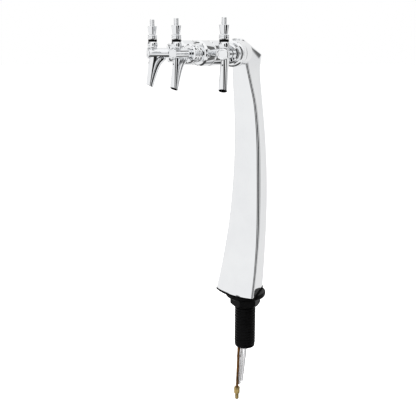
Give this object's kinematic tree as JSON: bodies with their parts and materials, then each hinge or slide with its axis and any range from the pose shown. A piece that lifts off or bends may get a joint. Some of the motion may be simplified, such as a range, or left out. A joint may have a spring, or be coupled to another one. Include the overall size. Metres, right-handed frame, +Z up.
{
  "type": "beer tap tower",
  "caption": "Tall bowed chrome column that clamps to a bar top by a threaded shank and carries lever taps fanned out on tapered arms.",
  "frame": {"origin": "on the axis of the threaded shank, in the plane of the bar top, which is the underside of the base gasket", "axes": "+Z up, the taps face -Y, and +X is to the right of someone who faces the taps, looking towards +Y"},
  "size_m": [0.2254, 0.2764, 0.865],
  "materials": {
    "chrome": "polished",
    "black_nylon": "moulded, slightly glossy",
    "black_rubber": "matt",
    "stainless": "drawn tube",
    "copper": "browned copper tube",
    "brass": "machined",
    "zinc": "zinc plated"
  },
  "bodies": {
    "tower": {"column_shell": "chrome", "three_way_hub": "chrome", "base_plate": "zinc", "base_gasket": "black_rubber", "threaded_shank": "black_nylon", "base_screw_1": "zinc", "base_screw_2": "zinc", "base_screw_3": "zinc", "product_line_1": "stainless", "product_line_2": "stainless", "product_line_3": "stainless", "cooling_loop": "copper", "cooling_union": "brass", "tap_body_1": "chrome", "front_cap_1": "chrome", "bonnet_1": "chrome", "coupling_nut_1": "chrome", "tap_shank_1": "chrome", "tap_body_2": "chrome", "front_cap_2": "chrome", "bonnet_2": "chrome", "coupling_nut_2": "chrome", "tap_shank_2": "chrome", "tap_body_3": "chrome", "front_cap_3": "chrome", "bonnet_3": "chrome", "coupling_nut_3": "chrome", "tap_shank_3": "chrome"},
    "clamp_washer": {"clamp_washer": "black_nylon"},
    "clamp_nut": {"clamp_nut": "black_nylon"},
    "lever_1": {"lever_1": "chrome", "friction_ring_1": "black_nylon", "lever_collar_1": "chrome", "ferrule_1": "chrome"},
    "valve_1": {"valve_shaft_1": "stainless", "seat_washer_1": "black_rubber"},
    "lever_2": {"lever_2": "chrome", "friction_ring_2": "black_nylon", "lever_collar_2": "chrome", "ferrule_2": "chrome"},
    "valve_2": {"valve_shaft_2": "stainless", "seat_washer_2": "black_rubber"},
    "lever_3": {"lever_3": "chrome", "friction_ring_3": "black_nylon", "lever_collar_3": "chrome", "ferrule_3": "chrome"},
    "valve_3": {"valve_shaft_3": "stainless", "seat_washer_3": "black_rubber"}
  },
  "joints": [
    {"name": "clamp_washer_slide", "type": "slide", "parent": "tower", "child": "clamp_washer", "axis": [0, 0, -1], "range_m": [0, 0.085]},
    {"name": "clamp_nut_turn", "type": "hinge", "parent": "clamp_washer", "child": "clamp_nut", "pos_m": [0, 0, -0.0236], "axis": [0, 0, -1], "range_deg": [0, 4636.3]},
    {"name": "lever_1_pull", "type": "hinge", "parent": "tower", "child": "lever_1", "pos_m": [-0.0989, -0.17842, 0.543], "axis": [0.8746, -0.4848, 0], "range_deg": [0, 25.78]},
    {"name": "valve_1_travel", "type": "slide", "parent": "tower", "child": "valve_1", "axis": [0.4848, 0.8746, 0], "range_m": [0, 0.007]},
    {"name": "lever_2_pull", "type": "hinge", "parent": "tower", "child": "lever_2", "pos_m": [0, -0.204, 0.543], "axis": [1, 0, 0], "range_deg": [0, 25.78]},
    {"name": "valve_2_travel", "type": "slide", "parent": "tower", "child": "valve_2", "axis": [0, 1, 0], "range_m": [0, 0.007]},
    {"name": "lever_3_pull", "type": "hinge", "parent": "tower", "child": "lever_3", "pos_m": [0.0989, -0.17842, 0.543], "axis": [0.8746, 0.4848, 0], "range_deg": [0, 25.78]},
    {"name": "valve_3_travel", "type": "slide", "parent": "tower", "child": "valve_3", "axis": [-0.4848, 0.8746, 0], "range_m": [0, 0.007]}
  ],
  "couplings": [
    {"joint": "clamp_washer_slide", "follows": "clamp_nut_turn", "m_per_rad": 0.0010504},
    {"joint": "valve_1_travel", "follows": "lever_1_pull", "m_per_rad": 0.015465},
    {"joint": "valve_2_travel", "follows": "lever_2_pull", "m_per_rad": 0.015465},
    {"joint": "valve_3_travel", "follows": "lever_3_pull", "m_per_rad": 0.015465}
  ]
}
